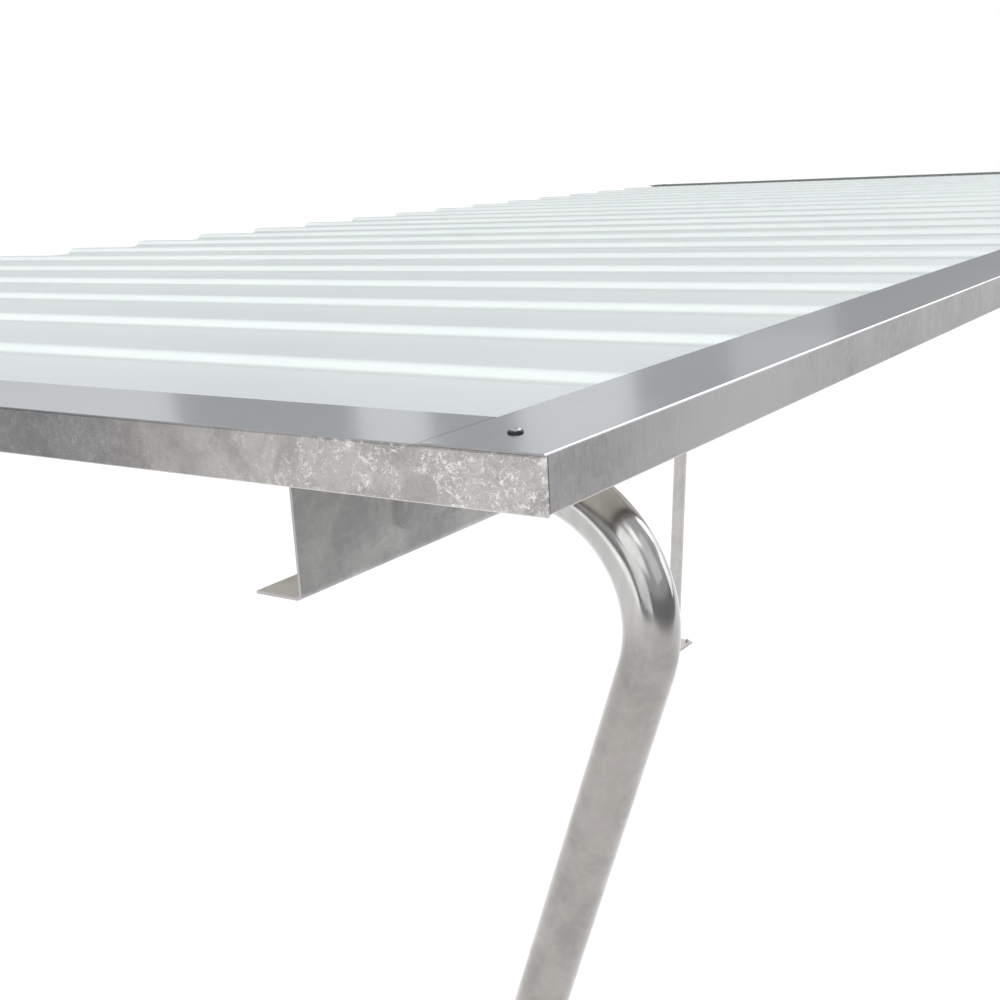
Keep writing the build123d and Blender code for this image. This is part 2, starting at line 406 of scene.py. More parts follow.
def end_trim_zinc():
    finish, tree, shader = new_finish("end_trim_zinc")
    place = stretched(tree)
    upward = facing_up(tree)
    patches = spread(tree, clouds(tree, place, 18, 6, 0.6, 0.6), 0.34, 0.66)
    blotches = spread(tree, clouds(tree, place, 37, 5, 0.6, 0.8), 0.38, 0.58)
    broad = veins(tree, place, 62, 0.05, 3, 0.9)
    fine = veins(tree, place, 150, 0.06, 3, 0.7)
    broken = spread(tree, clouds(tree, place, 120, 3, 0.5), 0.36, 0.6)
    lines = times(tree, joined(tree, "MAXIMUM", broad, fine), broken)
    grain = spread(tree, clouds(tree, place, 480, 3, 0.6), 0.35, 0.65)
    near = from_corner(tree, "Y", 0.26, 0.68, 1.0, 0.0)
    clear = from_corner(tree, "Y", 0.14, 0.42, 1.0, 0.12)
    shown = times(tree, times(tree, lines, blotches), clear)
    far_tone = tint(tree, patches, (0.185, 0.185, 0.19), (0.225, 0.225, 0.228))
    near_tone = tint(tree, patches, (0.42, 0.402, 0.388), (0.57, 0.549, 0.532))
    dull = tint(tree, near, far_tone, near_tone)
    grained = tint(tree, times(tree, grain, 0.14), dull, (0.68, 0.663, 0.645))
    outlines = times(tree, veins(tree, place, 95, 0.035, 4, 1.2), clear)
    outlined = tint(tree, times(tree, outlines, 0.45), grained, (0.30, 0.288, 0.277))
    bright = tint(tree, shown, outlined, (0.93, 0.913, 0.892))
    # Painted highlight: the lowest millimetre of the face and the edges that face the ground are made
    # paler.
    rimmed = tint(tree, painted_edge_light(tree, -trim_thickness - trim_face), bright, (0.78, 0.77, 0.75))
    face = tint(tree, facing_down(tree), rimmed, (0.72, 0.71, 0.69))
    smooth, rough_flange = rolled_flange(tree, place, (900, 9, 900))
    # Painted shadow: a dark line on the end flange just beyond the edge of the front flange.
    lap_distance = joined(tree, "ABSOLUTE", joined(tree, "SUBTRACT", along(tree, "Y"), lap_y), 0.0)
    lap_shade = spread(tree, lap_distance, lap_shade_full, lap_shade_end, 0.5, 0.0)
    flange = tint(tree, lap_shade, smooth, (0.16, 0.165, 0.17))
    colour = tint(tree, upward, face, flange)
    rough_face = spread(tree, patches, 0.0, 1.0, 0.46, 0.38)
    rough = tint(tree, upward, rough_face, rough_flange, "VALUE")
    relief = times(tree, shown, joined(tree, "SUBTRACT", 1.0, upward))
    wire(tree, shader, colour, rough, relief, 0.0005, 0.7)
    return finish


end_zinc = end_trim_zinc()
print("finish:", end_zinc.name)

# %% [markdown]
# Zinc on the front trim.
# The long front trim has a calmer coat. Its face carries fine upright streaks from handling and rain, and a
# slight pink cast, and its flange is the same smooth bluish grey as the ends' flanges, darkened by painted
# shade further from the corner. A painted highlight lights its lowest millimetre and the edges that face
# down. Streaks are noise that is stretched along Z: many waves across and few from top to bottom.


# %% Front trim zinc
def front_trim_zinc():
    finish, tree, shader = new_finish("front_trim_zinc")
    place = stretched(tree)
    upward = facing_up(tree)
    patches = spread(tree, clouds(tree, place, 9, 5, 0.55, 0.5), 0.34, 0.66)
    streaks = spread(tree, clouds(tree, stretched(tree, (330, 60, 45)), 1, 5, 0.65), 0.38, 0.7)
    scratches = spread(tree, clouds(tree, stretched(tree, (900, 90, 60)), 1, 3, 0.5), 0.62, 0.74)
    mottle = spread(tree, clouds(tree, place, 75, 5, 0.65, 0.6), 0.36, 0.66)
    grain = spread(tree, clouds(tree, place, 520, 3, 0.6), 0.35, 0.65)
    cloudy = tint(tree, patches, (0.285, 0.277, 0.281), (0.36, 0.352, 0.357))
    even = tint(tree, times(tree, mottle, 0.4), cloudy, (0.44, 0.429, 0.434))
    rise = from_corner(tree, "X", 0.10, 0.32)
    fall = from_corner(tree, "X", 0.40, 0.74, 0.8, 0.0)
    dull = tint(tree, times(tree, rise, fall), even, (0.47, 0.459, 0.464))
    grained = tint(tree, times(tree, grain, 0.2), dull, (0.50, 0.49, 0.496))
    streaked = tint(tree, times(tree, streaks, 0.26), grained, (0.47, 0.459, 0.466))
    scratched = tint(tree, times(tree, scratches, 0.3), streaked, (0.58, 0.57, 0.57))
    # Painted highlight: the lowest millimetre of the face and the edges that face the ground are made
    # paler.
    rimmed = tint(tree, painted_edge_light(tree, -trim_face), scratched, (0.78, 0.77, 0.76))
    face = tint(tree, facing_down(tree), rimmed, (0.72, 0.71, 0.70))
    silvery, rough_flange = rolled_flange(tree, place, (9, 900, 900))
    # Painted shade: the flange is darker from about 0.6 m along the shelter from the near corner.
    far_flange_shade = from_corner(tree, "X", 0.62, 0.78, 0.0, 0.8)
    flange = tint(tree, far_flange_shade, silvery, (0.36, 0.378, 0.39))
    colour = tint(tree, upward, face, flange)
    rough_face = spread(tree, streaks, 0.0, 1.0, 0.42, 0.37)
    rough = tint(tree, upward, rough_face, rough_flange, "VALUE")
    relief = times(tree, streaks, joined(tree, "SUBTRACT", 1.0, upward))
    wire(tree, shader, colour, rough, relief, 0.0002, 0.15)
    return finish


front_zinc = front_trim_zinc()
print("finish:", front_zinc.name)

# %% [markdown]
# Paint on the roof sheets.
# The sheets are coil-coated: a pale grey-green paint, baked on before the ribs are rolled. It is even, with
# a satin gloss, so its noise is faint: broad tone, thin washed streaks down the slope and a very fine grain
# in the film. The feet of the ribs, just above the pans, are darkened with painted shade, as in a crease.
# The back only gets a thin coat of warm off-white, which the bent tubes mirror.


# %% Sheet paint
rib_height = 0.016
# Heights above the pan between which the feet of the ribs are darkened with painted shade.
crease_shade_foot = 0.0014
crease_shade_full = 0.0030
crease_shade_end = 0.0068
crown_level = -trim_thickness
pan_level = crown_level - rib_height


def sheet_paint():
    finish, tree, shader = new_finish("sheet_paint")
    tone = spread(tree, clouds(tree, stretched(tree), 1.7, 3), 0.3, 0.7)
    washed = spread(tree, clouds(tree, stretched(tree, (60, 1.5, 60)), 1, 4, 0.6), 0.4, 0.75)
    grain = clouds(tree, stretched(tree), 900, 2)
    even = tint(tree, tone, (0.755, 0.805, 0.79), (0.775, 0.822, 0.807))
    streaked = tint(tree, times(tree, washed, 0.25), even, (0.73, 0.775, 0.76))
    # Painted shade: the paint is darker at the feet of the ribs, just above the pans.
    level = roof_level(tree)
    above_pan = spread(tree, level, pan_level, pan_level + crease_shade_foot)
    below_side = spread(tree, level, pan_level + crease_shade_full, pan_level + crease_shade_end, 0.85, 0.0)
    top_coat = tint(tree, times(tree, above_pan, below_side), streaked, (0.565, 0.60, 0.588))
    back_coat = tint(tree, tone, (0.68, 0.66, 0.59), (0.72, 0.70, 0.63))
    colour = tint(tree, facing_down(tree), top_coat, back_coat)
    rough = spread(tree, tone, 0.0, 1.0, 0.44, 0.5)
    wire(tree, shader, colour, rough, grain, 0.00006, 0.25, metal=0.0)
    set_inputs(shader, {"Specular IOR Level": 0.25, "Coat Weight": 0.04, "Coat Roughness": 0.25})
    return finish


roof_paint = sheet_paint()
print("finish:", roof_paint.name)

# %% [markdown]
# Zinc on the tubes.
# A tube drains fast when it leaves the bath, so its zinc is thin and bright. Where it was bent it is almost
# a mirror; the straight leg is duller, with a warm cloudy bloom. One finish covers both: height above the
# ground tells the bend from the leg, and a rear post has no bend. The rinse after the bath leaves a thin
# clear film, which lightens the rims; the shader's coat does the same.


# %% Tube zinc
def tube_zinc(name, tone, mottle, bright_from, bright_to):
    finish, tree, shader = new_finish(name)
    place = stretched(tree)
    bloom = spread(tree, clouds(tree, place, 13, 5, 0.6, 0.7), 0.36, 0.64)
    spots = spread(tree, clouds(tree, place, 60, 4, 0.6, 0.6), 0.42, 0.66)
    runs = spread(tree, clouds(tree, stretched(tree, (70, 70, 5)), 1, 3, 0.5), 0.38, 0.66)
    mirror = spread(tree, along(tree, "Z"), bright_from, bright_to)
    dull = tint(tree, bloom, lit(tone, 1 - mottle), lit(tone, 1 + mottle / 2))
    spotted = tint(tree, times(tree, spots, 2 * mottle), dull, lit(tone, 1 + 2 * mottle))
    shiny = tint(tree, runs, (0.42, 0.415, 0.405), (0.48, 0.475, 0.465))
    colour = tint(tree, mirror, spotted, shiny)
    rough_leg = spread(tree, bloom, 0.0, 1.0, 0.36, 0.27)
    rough = joined(tree, "SUBTRACT", rough_leg, times(tree, mirror, 0.19))
    wire(tree, shader, colour, rough, bloom, 0.0002, 0.1)
    set_inputs(shader, {"Coat Weight": 1.0, "Coat Roughness": 0.18})
    return finish


bend_from = 2.72
bend_to = 2.795
above_all = cad_box[1].z
front_tube_finish = tube_zinc("front_tube_zinc", (0.325, 0.305, 0.29), 0.14, bend_from, bend_to)
rear_tube_finish = tube_zinc("rear_tube_zinc", (0.48, 0.469, 0.457), 0.06, above_all, above_all + 1)
print("finishes:", front_tube_finish.name, rear_tube_finish.name)

# %% [markdown]
# Zinc on purlins, rafters and plates.
# These are hot-dipped after they are cut, so the coat is thick and even: mid grey, softly clouded, with a
# slow change of gloss. Faces that look up, and on purlins and plates the cut ends that look along the
# shelter, get a paler colour: a painted highlight for the light they catch. Purlins, rafters and plates
# differ only in tone and in the size of the clouds, so one function makes all three, and later the steel of
# the fastenings.


# %% Dipped zinc
def dipped_zinc(name, dark, light, cloud_scale, top_light_gain=2.0, end_light_gain=None):
    finish, tree, shader = new_finish(name)
    place = stretched(tree)
    patches = spread(tree, clouds(tree, place, cloud_scale, 6, 0.6, 0.6), 0.32, 0.68)
    spangle = spread(tree, clouds(tree, place, 6 * cloud_scale, 3, 0.5, 0.8), 0.38, 0.66)
    pale = veins(tree, place, 3 * cloud_scale, 0.04, 5, 1.4)
    tone = tint(tree, patches, dark, light)
    freckled = tint(tree, times(tree, spangle, 0.22), tone, lit(light, 1.25))
    faint = times(tree, times(tree, pale, patches), 0.3)
    weathered = tint(tree, faint, freckled, lit(light, 1.5))
    # Painted highlight: faces that look up, and cut ends that look along the shelter, get a paler colour.
    colour = tint(tree, facing_up(tree), weathered, lit(light, top_light_gain))
    if end_light_gain:
        colour = tint(tree, facing_side(tree), colour, lit(light, end_light_gain))
    rough = spread(tree, patches, 0.0, 1.0, 0.50, 0.38)
    wire(tree, shader, colour, rough, spangle, 0.0002, 0.15)
    return finish


purlin_zinc = dipped_zinc("purlin_zinc", (0.35, 0.35, 0.352), (0.43, 0.427, 0.42), 11, end_light_gain=1.2)
rafter_zinc = dipped_zinc("rafter_zinc", (0.30, 0.30, 0.30), (0.39, 0.386, 0.38), 17)
plate_zinc = dipped_zinc("plate_zinc", (0.29, 0.29, 0.293), (0.355, 0.352, 0.348), 24, end_light_gain=1.85)
print("finishes:", purlin_zinc.name, rafter_zinc.name, plate_zinc.name)

# %% [markdown]
# Finishes onto the frame's own pieces.
# The frame's pieces keep their meshes and only change their material. The record says which slot each one
# belongs to, so a small table from slot to finish is enough. Trims, sheets and tubes get their skins
# further down.

# %% Dress the nodes
slot_finishes = {
    "roof_sheet": roof_paint,
    "galvanised_trim": end_zinc,
    "galvanised_purlin": purlin_zinc,
    "front_tube": front_tube_finish,
    "rear_tube": rear_tube_finish,
    "rafter": rafter_zinc,
    "plate": plate_zinc,
}
subparts = frame["record"]["subparts"]
for subpart in subparts:
    node = nodes[subpart["node"]]
    node.data.materials.clear()
    node.data.materials.append(slot_finishes[subpart["material_slot"]])
print("dressed:", len(subparts), "nodes")

# %% [markdown]
# Tools for modelling.
# A new piece starts from a primitive, is shaped in edit mode and ends with its place in its mesh. Selecting
# by hand means clicking; in a script it means asking every face, edge or vertex for its middle.


# %% Helpers for modelling
def alone(piece):
    """Make one piece the only selected and the active one."""
    bpy.ops.object.select_all(action="DESELECT")
    piece.select_set(True)
    bpy.context.view_layer.objects.active = piece


def begin(name):
    """Name the primitive just added, put its place in its mesh and open it for editing."""
    piece = bpy.context.active_object
    piece.name = name
    alone(piece)
    settle()
    bpy.ops.object.mode_set(mode="EDIT")
    return piece


def close(piece):
    """Leave edit mode."""
    bpy.ops.object.mode_set(mode="OBJECT")
    return piece


def pick_all():
    """Select the whole open mesh."""
    bpy.ops.mesh.select_all(action="SELECT")


def pick(kind, test):
    """Select the vertices, edges or faces of the open mesh whose middle passes the test."""
    bpy.ops.mesh.select_mode(type=kind)
    bpy.ops.mesh.select_all(action="DESELECT")
    data = bpy.context.active_object.data
    mesh = bmesh.from_edit_mesh(data)
    for part in {"VERT": mesh.verts, "EDGE": mesh.edges, "FACE": mesh.faces}[kind]:
        corners = [part] if kind == "VERT" else part.verts
        middle = sum((v.co for v in corners), Vector()) / len(corners)
        part.select_set(bool(test(middle)))
    mesh.select_flush_mode()
    bmesh.update_edit_mesh(data)


def extrude(vector):
    """Extrude what is selected along a vector."""
    bpy.ops.mesh.extrude_region_move(TRANSFORM_OT_translate={"value": vector})


def change(piece, kind, **settings):
    """Add a modifier, set it and apply it."""
    modifier = piece.modifiers.new(kind.lower(), kind)
    for name, value in settings.items():
        setattr(modifier, name, value)
    bpy.context.view_layer.objects.active = piece
    bpy.ops.object.modifier_apply(modifier=modifier.name)


def put(piece, matrix):
    """Move a piece by a matrix and keep its place in its mesh."""
    alone(piece)
    piece.matrix_world = matrix @ piece.matrix_world
    settle()


def discard(*models):
    """Take away cutters and models that have served."""
    for model in models:
        bpy.data.objects.remove(model)


smooth_angle = radians(32)


def dress(piece, finish, slot, *stood_for):
    """Shade, paint and hang a finished piece on the shelter."""
    alone(piece)
    bpy.ops.object.shade_smooth_by_angle(angle=smooth_angle)
    change(piece, "WEIGHTED_NORMAL", keep_sharp=True)
    piece.data.materials.clear()
    piece.data.materials.append(finish)
    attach(piece, "root")
    if stood_for:
        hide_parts(*stood_for)
    print("made", piece.name, len(piece.data.polygons), "faces")


print("modelling helpers ready")

# %% [markdown]
# The folded trims.
# Each trim is one strip of 2 mm sheet with one fold. A press brake leaves a round fold and a blunt cut
# edge, and both catch a thin line of light, so they are worth more facets than the frame's solids carry.
# The strip starts as a plane that is the flange, its outer edge is extruded down to make the face, the fold
# is bevelled round, Solidify gives the sheet its thickness and a last bevel blunts the cut edges. At the
# corners the front flange lies on the end flanges, and small boxes cut the notches.


# %% Folded trims
fold_radius = 0.0026
hair = 0.0005  # points closer than this share a place
cut_round = 0.0008
cut_angle = radians(50)
corner_gap = 0.0015
overrun = 0.02
roof_depth = 3.3


def flat_sheet(name, low, high, level):
    """A plane between two corners, in the roof's frame."""
    middle = ((low[0] + high[0]) / 2, (low[1] + high[1]) / 2, level)
    bpy.ops.mesh.primitive_plane_add(size=1, location=middle)
    bpy.context.active_object.scale = (high[0] - low[0], high[1] - low[1], 1)
    return begin(name)


def fold_down(piece, at_fold):
    """Extrude the outer edge down as the face, round the fold and give the sheet its thickness."""
    pick("EDGE", at_fold)
    extrude((0, 0, -trim_face))
    pick("EDGE", at_fold)
    bpy.ops.mesh.bevel(offset=fold_radius, segments=8, affect="EDGES")
    close(piece)
    change(piece, "SOLIDIFY", thickness=trim_thickness, offset=-1, use_even_offset=True)


def cut_away(piece, low, high):
    """Take a box out of a piece."""
    middle = [(a + b) / 2 for a, b in zip(low, high)]
    bpy.ops.mesh.primitive_cube_add(size=1, location=middle)
    cutter = bpy.context.active_object
    cutter.scale = [b - a for a, b in zip(low, high)]
    alone(cutter)
    settle()
    change(piece, "BOOLEAN", operation="DIFFERENCE", object=cutter, solver="EXACT")
    discard(cutter)


def blunt(piece):
    """Round the cut edges of the sheet a little."""
    change(piece, "BEVEL", width=cut_round, segments=3, limit_method="ANGLE", angle_limit=cut_angle)


ends = (("left", -1), ("right", 1))
front_skin = flat_sheet("front_trim_skin", (-half_length, 0), (half_length, trim_flange), 0)
fold_down(front_skin, lambda m: abs(m.y) < hair and abs(m.z) < hair)
notch = trim_thickness + corner_gap
for _, side in ends:
    outer = side * (half_length + overrun)
    inner = side * (half_length - notch)
    low_x, high_x = sorted((outer, inner))
    cut_away(
        front_skin,
        (low_x, -overrun, -trim_face - overrun),
        (high_x, trim_flange + overrun, -trim_thickness),
    )
blunt(front_skin)
put(front_skin, roof_frame)
dress(front_skin, front_zinc, "galvanised_trim", "front_trim")

# %% End trims
for name, side in ends:
    fold_x = side * half_length
    level = -trim_thickness
    low_x, high_x = sorted((fold_x, side * (half_length - trim_flange)))
    end_skin = flat_sheet(f"{name}_trim_skin", (low_x, 0), (high_x, roof_depth), level)
    fold_down(end_skin, lambda m: abs(m.x - fold_x) < hair and abs(m.z - level) < hair)
    outer = side * (half_length - trim_thickness)
    inner = side * (half_length - trim_flange - overrun)
    low_x, high_x = sorted((outer, inner))
    cut_away(
        end_skin,
        (low_x, -overrun, -trim_face - overrun),
        (high_x, fold_radius + corner_gap, overrun),
    )
    blunt(end_skin)
    put(end_skin, roof_frame)
    dress(end_skin, end_zinc, "galvanised_trim", f"{name}_trim")

# %% [markdown]
# The roof sheets.
# Roll forming bends a flat coil step by step until its ribs stand up. The model does the same: a narrow
# plane is the first strip of a sheet, and every next strip is one extrude of its edge, up a rib, across its
# crown and down again. The folds are then bevelled, because a roller leaves them round, and the sheet is
# extruded down by its thickness. Neighbours overlap on a rib: the sheet underneath ends with a rib that is
# a little lower, and the one on top starts with a short lip.

# %% Outline of the sheets
rib_pitch = 0.300
rib_crown = 0.040
rib_run = 0.010
rib_fold_offset = 0.0052
first_rib_least = 0.300
ribs_per_sheet = 3
sheet_thickness = 0.001
lap_drop = 0.0013
lap_lip = 0.008
verge_width = 0.090
sheet_edge_gap = 0.006
verge_level = crown_level - trim_thickness
run_per_drop = rib_run / rib_height
rib_foot = rib_crown / 2 + rib_run
rib_count = int((2 * half_length - 2 * first_rib_least) // rib_pitch) + 1
rib_places = [(i - (rib_count - 1) / 2) * rib_pitch for i in range(rib_count)]


def whole_rib(x):
    """Top line of a rib, from foot to foot."""
    return [
        (x - rib_foot, pan_level),
        (x - rib_crown / 2, crown_level),
        (x + rib_crown / 2, crown_level),
        (x + rib_foot, pan_level),
    ]


def over_lap(x):
    """Top line of the rib that starts a sheet with a lip."""
    return [(x - rib_crown / 2 - lap_lip * run_per_drop, crown_level - lap_lip)] + whole_rib(x)[1:]


def under_lap(x):
    """Top line of the lowered rib that ends a sheet."""
    lowered = crown_level - lap_drop
    return [
        (x - rib_foot + lap_drop * run_per_drop, pan_level),
        (x - rib_crown / 2, lowered),
        (x + rib_crown / 2, lowered),
        (x + rib_crown / 2 + lap_lip * run_per_drop, lowered - lap_lip),
    ]


def verge(side):
    """Top line of the raised edge under an end trim, from the outside in."""
    outer = half_length - sheet_edge_gap
    inner = half_length - verge_width
    foot = inner - (verge_level - pan_level) * run_per_drop
    return [(side * outer, verge_level), (side * inner, verge_level), (side * foot, pan_level)]


print(rib_count, "ribs,", rib_pitch, "m apart")


# %% Roll-formed sheets
def roll_formed(name, line):
    """A sheet whose strips follow the top line."""
    first, second = line[:2]
    last = line[-1]
    middle_y = (sheet_edge_gap + roof_depth) / 2
    piece = flat_sheet(name, (first[0], sheet_edge_gap), (second[0], roof_depth), second[1])
    pick("EDGE", lambda m: abs(m.x - first[0]) < hair)
    bpy.ops.transform.translate(value=(0, 0, first[1] - second[1]))
    pick("EDGE", lambda m: abs(m.x - second[0]) < hair)
    for (x, level), (next_x, next_level) in zip(line[1:], line[2:]):
        extrude((next_x - x, 0, next_level - level))
    fold_low = first[0] + hair
    fold_high = last[0] - hair
    pick("EDGE", lambda m: abs(m.y - middle_y) < hair and fold_low < m.x < fold_high)
    bpy.ops.mesh.bevel(offset=rib_fold_offset, segments=6, affect="EDGES")
    pick_all()
    extrude((0, 0, -sheet_thickness))
    pick_all()
    bpy.ops.mesh.normals_make_consistent(inside=False)
    return close(piece)


lap_ribs = list(range(ribs_per_sheet - 1, rib_count - 2, ribs_per_sheet))
starts = [0] + [i + 1 for i in lap_ribs]
stops = lap_ribs + [rib_count]
for number, (first_rib, last_rib) in enumerate(zip(starts, stops), start=1):
    top_line = verge(-1) if first_rib == 0 else over_lap(rib_places[first_rib - 1])
    for i in range(first_rib, last_rib):
        top_line += whole_rib(rib_places[i])
    top_line += verge(1)[::-1] if last_rib == rib_count else under_lap(rib_places[last_rib])
    sheet_skin = roll_formed(f"roof_sheet_{number}_skin", top_line)
    put(sheet_skin, roof_frame)
    dress(sheet_skin, roof_paint, "roof_sheet", f"roof_sheet_{number}")

# %% [markdown]
# The bent front posts.
# A tube bender draws a straight tube round a former, so the post is one section carried along a line, round
# an arc and along a line again. That is what extrude and spin do with a circle: out along the arm, round
# the bend, down the leaning leg. Bisect cuts the foot level, and Solidify turns the skin into a wall.

# %% Bent front posts
tube_radius = 0.0603 / 2
tube_wall = 0.0036
bend_radius = 0.148
bend_setback = 0.002
leg_lean = radians(15.3)
base_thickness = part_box("left_front_base_plate")[1].z
rafter_level = -0.094
web_distance = 0.289
plate_thickness = 0.008
frame_x = (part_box("right_front_post")[0].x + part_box("right_front_post")[1].x) / 2
down_slope = roof_frame.to_3x3() @ Vector((0, 1, 0))
roof_normal = roof_frame.to_3x3() @ Vector((0, 0, 1))
bend_y = roof_origin.y + bend_setback + tube_radius + bend_radius
bend_drop = (rafter_level - bend_radius - (bend_y - roof_origin.y) * sin(roof_pitch)) / cos(roof_pitch)
bend_z = roof_origin.z + bend_drop
bend_angle = pi / 2 + roof_pitch + leg_lean
leg_direction = Vector((0, sin(leg_lean), -cos(leg_lean)))
ring_sides = 72
bend_steps = 48


def walled(piece):
    """Turn an open skin outwards and give it a wall on the inside."""
    pick_all()
    bpy.ops.mesh.remove_doubles(threshold=hair / 10)
    bpy.ops.mesh.normals_make_consistent(inside=False)
    close(piece)
    change(piece, "SOLIDIFY", thickness=tube_wall, offset=-1, use_even_offset=True)


for name, side in ends:
    x = side * frame_x
    arm_end = roof_frame @ Vector((x, web_distance - plate_thickness, rafter_level))
    bend_centre = Vector((x, bend_y, bend_z))
    arm_length = (arm_end - bend_centre).dot(down_slope)
    bpy.ops.mesh.primitive_circle_add(
        vertices=ring_sides, radius=tube_radius, location=arm_end, rotation=(pi / 2 - roof_pitch, 0, 0)
    )
    post_skin = begin(f"{name}_front_post_skin")
    pick_all()
    extrude(-arm_length * down_slope)
    bpy.ops.mesh.spin(steps=bend_steps, angle=-bend_angle, center=bend_centre, axis=(1, 0, 0))
    leg_start_z = bend_z - bend_radius * sin(leg_lean)
    extrude(leg_direction * (leg_start_z + overrun) / cos(leg_lean))
    pick_all()
    bpy.ops.mesh.bisect(plane_co=(0, 0, base_thickness), plane_no=(0, 0, 1), clear_inner=True)
    walled(post_skin)
    dress(post_skin, front_tube_finish, "front_tube", f"{name}_front_post")

# %% [markdown]
# The straight rear posts.
# These are plain tubes, cut level at the foot and to the roof's fall at the top. The cut is easiest to make
# as a saw would: extrude the tube a little too long, then bisect it with the plane of the cap plate's
# underside.

# %% Rear posts
rear_tube_radius = 0.0761 / 2
cap_distance = 2.966
cap_level = -0.132
for name, side in ends:
    post_top = roof_frame @ Vector((side * frame_x, cap_distance, cap_level))
    bpy.ops.mesh.primitive_circle_add(
        vertices=ring_sides, radius=rear_tube_radius, location=(*post_top.xy, base_thickness)
    )
    rear_skin = begin(f"{name}_rear_post_skin")
    pick_all()
    extrude((0, 0, post_top.z + overrun - base_thickness))
    pick_all()
    bpy.ops.mesh.bisect(plane_co=post_top, plane_no=roof_normal, clear_outer=True)
    walled(rear_skin)
    dress(rear_skin, rear_tube_finish, "rear_tube", f"{name}_rear_post")

# %% [markdown]
# Finishes for the fastenings.
# A roofing screw has a black rubber washer under a bright steel head. Bolts and nuts are zinc plated and a
# little brighter than dipped steel. A weld bead is dipped together with the frame, so it has the same zinc,
# only more finely clouded. Rubber is no metal: it is dark, dull and faintly dusty.


# %% Fastening finishes
def washer_rubber():
    finish, tree, shader = new_finish("washer_rubber")
    dust = spread(tree, clouds(tree, stretched(tree), 260, 4, 0.6), 0.45, 0.75)
    grain = clouds(tree, stretched(tree), 2200, 2)
    colour = tint(tree, dust, (0.012, 0.012, 0.013), (0.035, 0.035, 0.036))
    rough = spread(tree, dust, 0.0, 1.0, 0.42, 0.62)
    wire(tree, shader, colour, rough, grain, 0.00005, 0.3, metal=0.0)
    return finish


rubber = washer_rubber()
screw_steel = dipped_zinc("screw_steel", (0.48, 0.48, 0.485), (0.58, 0.58, 0.58), 160, top_light_gain=1.0)
bolt_zinc = dipped_zinc("bolt_zinc", (0.42, 0.42, 0.42), (0.52, 0.515, 0.505), 90, top_light_gain=1.4)
weld_zinc = dipped_zinc("weld_zinc", (0.30, 0.30, 0.302), (0.40, 0.396, 0.39), 120)
print("finishes:", rubber.name, screw_steel.name, bolt_zinc.name, weld_zinc.name)

# %% [markdown]
# Copies of a fastening.
# A fastening is modelled once, standing on the origin with its axis up, and then copied to every place
# where it sits. Each copy gets a mesh of its own, and the copies that belong together are joined into one
# piece.


# %% Copy and join
def copies(model, places):
    """One piece made of copies of a model, one at each matrix."""
    made = []
    for place in places:
        copy = model.copy()
        copy.data = model.data.copy()
        bpy.context.scene.collection.objects.link(copy)
        put(copy, place)
        made.append(copy)
    return merged(made)


def merged(pieces):
    """Several pieces joined into the first."""
    alone(pieces[0])
    for piece in pieces[1:]:
        piece.select_set(True)
    bpy.ops.object.join()
    return pieces[0]


def hang(name, piece, finish, slot):
    """Name a joined piece and hang it on the shelter."""
    piece.name = name
    dress(piece, finish, slot)


print("copying helpers ready")

# %% [markdown]
# Roofing screws.
# One screw at each corner holds the trims together. Its washer is a disc with a rounded rim, pressed down a
# little in the middle; its head is a low dome with a six-sided socket. The dome comes from insetting the
# top of a disc again and again and lifting it a little less each time.

# %% Screw model
seal_radius = 0.0074
seal_height = 0.0018
head_radius = 0.0049
head_rim = 0.0008
dome_steps = ((0.0005, 0.0006), (0.0008, 0.0005), (0.0010, 0.0003))
socket_radius = 0.0019
socket_depth = 0.0012
round_sides = 48


def disc(name, radius, height, base=0.0, sides=round_sides):
    """A round or many-sided disc that stands on a level, open for editing."""
    bpy.ops.mesh.primitive_cylinder_add(
        vertices=sides, radius=radius, depth=height, location=(0, 0, base + height / 2)
    )
    return begin(name)


def round_rim(height, share, steps):
    """Round the upper rim of a disc by a share of its height."""
    pick("EDGE", lambda m: m.z > 0.9 * height)
    bpy.ops.mesh.bevel(offset=share * height, segments=steps, affect="EDGES")


seal = disc("seal_model", seal_radius, seal_height)
round_rim(seal_height, 0.4, 4)
pick("FACE", lambda m: m.z > 0.99 * seal_height and m.xy.length < hair)
bpy.ops.mesh.inset(thickness=0.2 * seal_radius, depth=-0.1 * seal_height)
close(seal)

screw_head = disc("screw_head_model", head_radius, head_rim, seal_height)
pick("FACE", lambda m: m.z > seal_height + 0.99 * head_rim)
for step_in, step_up in dome_steps:
    bpy.ops.mesh.inset(thickness=step_in, depth=step_up)
close(screw_head)
head_top = max(v.co.z for v in screw_head.data.vertices)
bpy.ops.mesh.primitive_cylinder_add(
    vertices=6, radius=socket_radius, depth=2 * socket_depth, location=(0, 0, head_top)
)
socket = bpy.context.active_object
change(screw_head, "BOOLEAN", operation="DIFFERENCE", object=socket, solver="EXACT")
discard(socket)
print("screw stands", round(1000 * head_top, 2), "mm proud")


# %% Roofing screws
def on_roof(x, down, level):
    """The roof's frame, moved to a place on the roof."""
    return roof_frame @ Matrix.Translation((x, down, level))


screw_from_end = 0.065
screw_from_edge = 0.072
for name, side in ends:
    for end, down, level in (
        ("front", screw_from_edge, 0),
        ("rear", roof_depth - screw_from_edge, -trim_thickness),
    ):
        seat = on_roof(side * (half_length - screw_from_end), down, level)
        hang(f"{name}_{end}_screw_seal", copies(seal, [seat]), rubber, "galvanised_trim")
        hang(f"{name}_{end}_screw_head", copies(screw_head, [seat]), screw_steel, "galvanised_trim")
discard(seal, screw_head)

